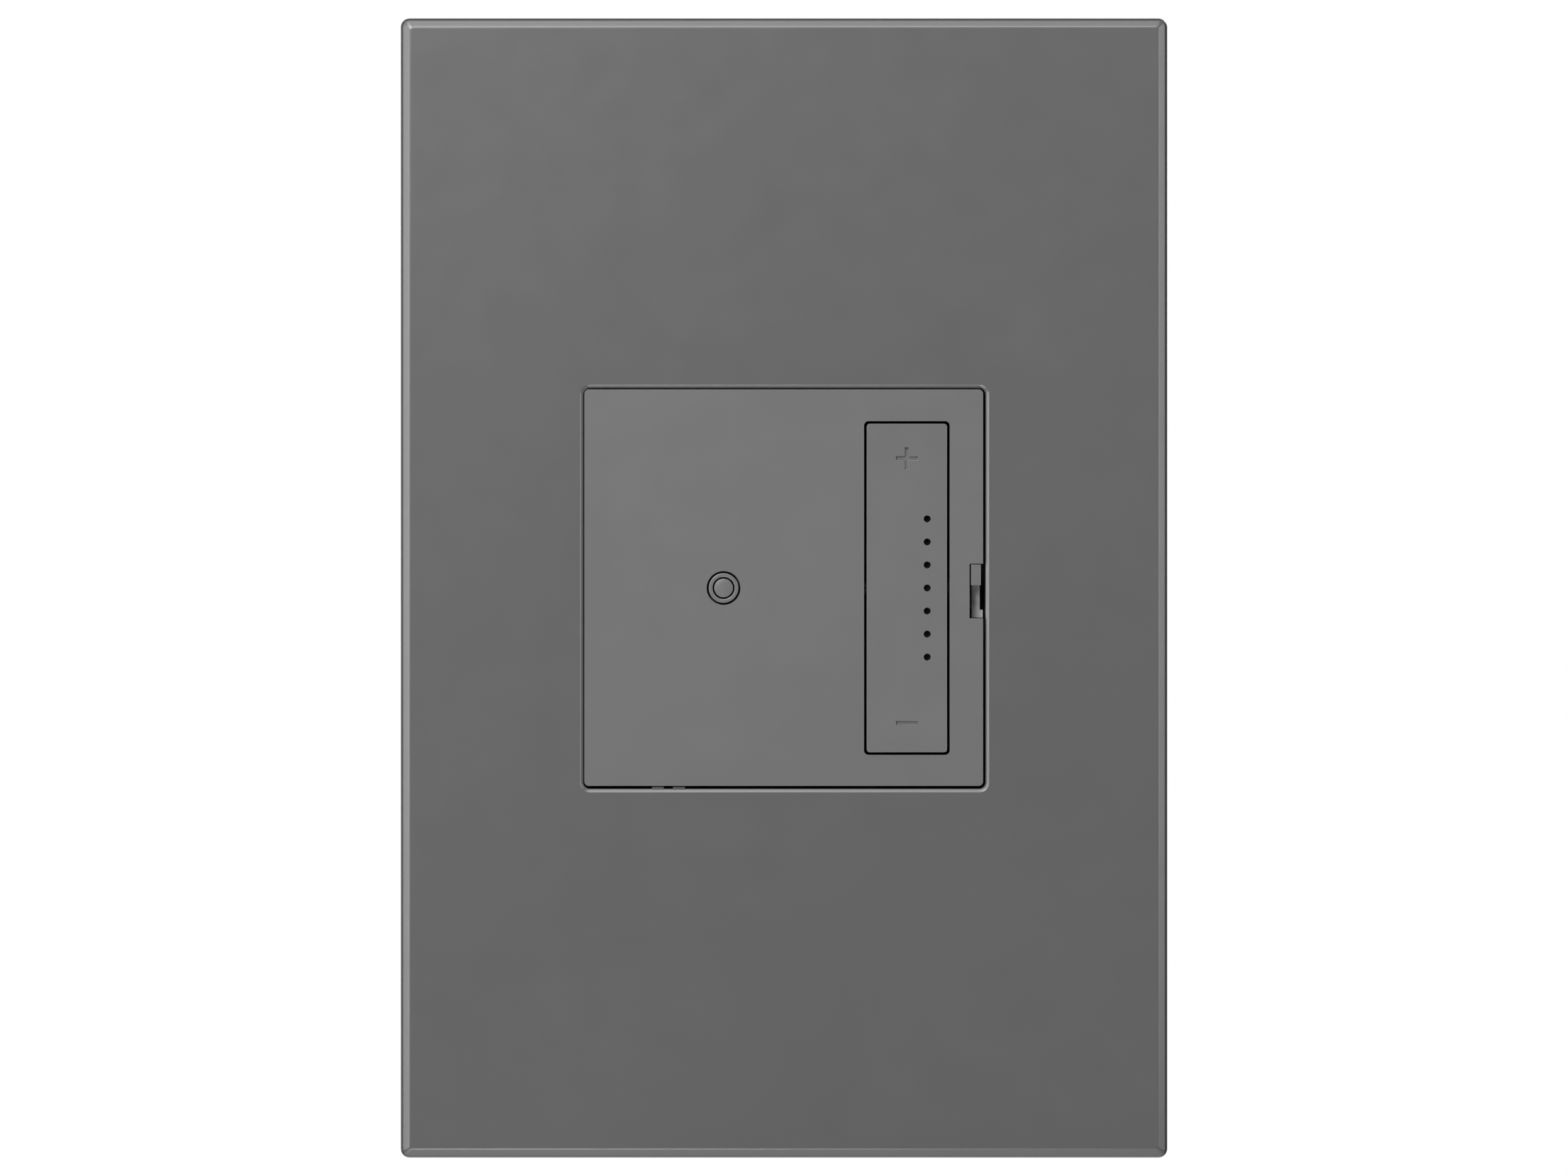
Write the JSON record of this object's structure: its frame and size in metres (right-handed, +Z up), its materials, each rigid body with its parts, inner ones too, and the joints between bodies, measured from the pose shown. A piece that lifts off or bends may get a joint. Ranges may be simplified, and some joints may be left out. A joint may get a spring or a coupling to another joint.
{
  "type": "wall dimmer switch",
  "caption": "Flat wall dimmer in a grey clip-on plate: square tap plate with a round locator light, tall plus and minus rocker bar with level lights, and a small service slide.",
  "frame": {"origin": "midway between the two box screws, on the plane of the wall", "axes": "+Z up along the wall, +Y into the wall, +X to the right seen from the front"},
  "size_m": [0.0876, 0.0435, 0.1302],
  "materials": {
    "face_plastic": "fine satin texture, moulded, dark metallic grey",
    "housing_plastic": "moulded black, lightly textured",
    "zinc_plate": "stamped sheet steel, zinc plated",
    "screw_steel": "plated, turned",
    "spring_steel": "drawn wire, bright",
    "black_steel": "black oxide",
    "green_steel": "green dyed plating",
    "retainer_plastic": "pressed fibre",
    "light_cap": "satin, faintly translucent",
    "smoked_lens": "polished, dark smoked",
    "copper": "bare and enamelled copper",
    "brass": "stamped and plated",
    "board": "solder mask over glass fibre board",
    "component_plastic": "moulded epoxy",
    "plunger_plastic": "moulded natural",
    "led_plastic": "white body with a clear top",
    "aluminium_plate": "stamped plate, milled face",
    "thermal_rubber": "soft silicone sheet",
    "ferrite": "coated powder iron",
    "film_yellow": "moulded box",
    "capacitor_sleeve": "shrunk sleeve",
    "varistor_blue": "dipped coating"
  },
  "bodies": {
    "base": {"wall_plate": "face_plastic", "mounting_frame": "zinc_plate", "box_screws": "screw_steel", "screw_retainers": "retainer_plastic", "ground_screw": "green_steel", "tap_hinge_pin": "screw_steel", "tap_spring_left": "spring_steel", "tap_spring_right": "spring_steel", "rocker_pin": "screw_steel", "plus_spring": "spring_steel", "minus_spring": "spring_steel", "service_contacts": "brass", "front_housing": "housing_plastic", "control_board": "board", "tap_switch_body": "component_plastic", "plus_switch_body": "component_plastic", "minus_switch_body": "component_plastic", "level_leds": "led_plastic", "locator_led": "led_plastic", "controller_chip": "component_plastic", "board_connector": "component_plastic", "heat_sink": "aluminium_plate", "thermal_pad": "thermal_rubber", "triac": "component_plastic", "triac_screw": "screw_steel", "power_board": "board", "choke_core": "ferrite", "choke_winding": "copper", "film_capacitor": "film_yellow", "bulk_capacitor": "capacitor_sleeve", "fuse": "component_plastic", "varistor": "varistor_blue", "rear_housing": "housing_plastic", "housing_screws": "screw_steel", "line_terminal_plate": "brass", "line_terminal_clamp": "brass", "line_terminal_screw": "black_steel", "load_terminal_plate": "brass", "load_terminal_clamp": "brass", "load_terminal_screw": "brass", "traveller_terminal_plate": "brass", "traveller_terminal_clamp": "brass", "traveller_terminal_screw": "brass"},
    "tap": {"tap_plate": "face_plastic", "locator_ring": "face_plastic", "locator_cap": "light_cap"},
    "rocker": {"rocker_bar": "face_plastic", "level_lens_strip": "smoked_lens"},
    "tap_plunger": {"tap_switch_plunger": "plunger_plastic"},
    "plus_plunger": {"plus_switch_plunger": "plunger_plastic"},
    "minus_plunger": {"minus_switch_plunger": "plunger_plastic"},
    "slider": {"service_slider": "face_plastic", "service_bridge": "copper"}
  },
  "joints": [
    {"name": "tap_press", "type": "hinge", "parent": "base", "child": "tap", "pos_m": [-0.0055, -0.0055, 0.0192], "axis": [1, 0, 0], "range_deg": [0, 1], "stiffness_Nm_per_rad": 1.2, "springref_deg": -0.57, "deforming": ["tap_spring_left", "tap_spring_right"]},
    {"name": "rocker_tilt", "type": "hinge", "parent": "base", "child": "rocker", "pos_m": [0.01402, -0.0056, 0], "axis": [1, 0, 0], "range_deg": [-1.8, 1.8], "stiffness_Nm_per_rad": 0.5, "deforming": ["plus_spring", "minus_spring"]},
    {"name": "tap_switch_travel", "type": "slide", "parent": "base", "child": "tap_plunger", "axis": [0, 1, 0], "range_m": [0, 0.0005]},
    {"name": "plus_switch_travel", "type": "slide", "parent": "base", "child": "plus_plunger", "axis": [0, 1, 0], "range_m": [-0.00045, 0.00045]},
    {"name": "minus_switch_travel", "type": "slide", "parent": "base", "child": "minus_plunger", "axis": [0, 1, 0], "range_m": [-0.00045, 0.00045]},
    {"name": "service_slide", "type": "slide", "parent": "base", "child": "slider", "axis": [0, 0, -1], "range_m": [0, 0.0034]}
  ],
  "couplings": [
    {"joint": "tap_switch_travel", "follows": "tap_press", "m_per_rad": 0.0272},
    {"joint": "minus_switch_travel", "follows": "rocker_tilt", "m_per_rad": 0.013},
    {"joint": "plus_switch_travel", "follows": "rocker_tilt", "m_per_rad": -0.013}
  ]
}
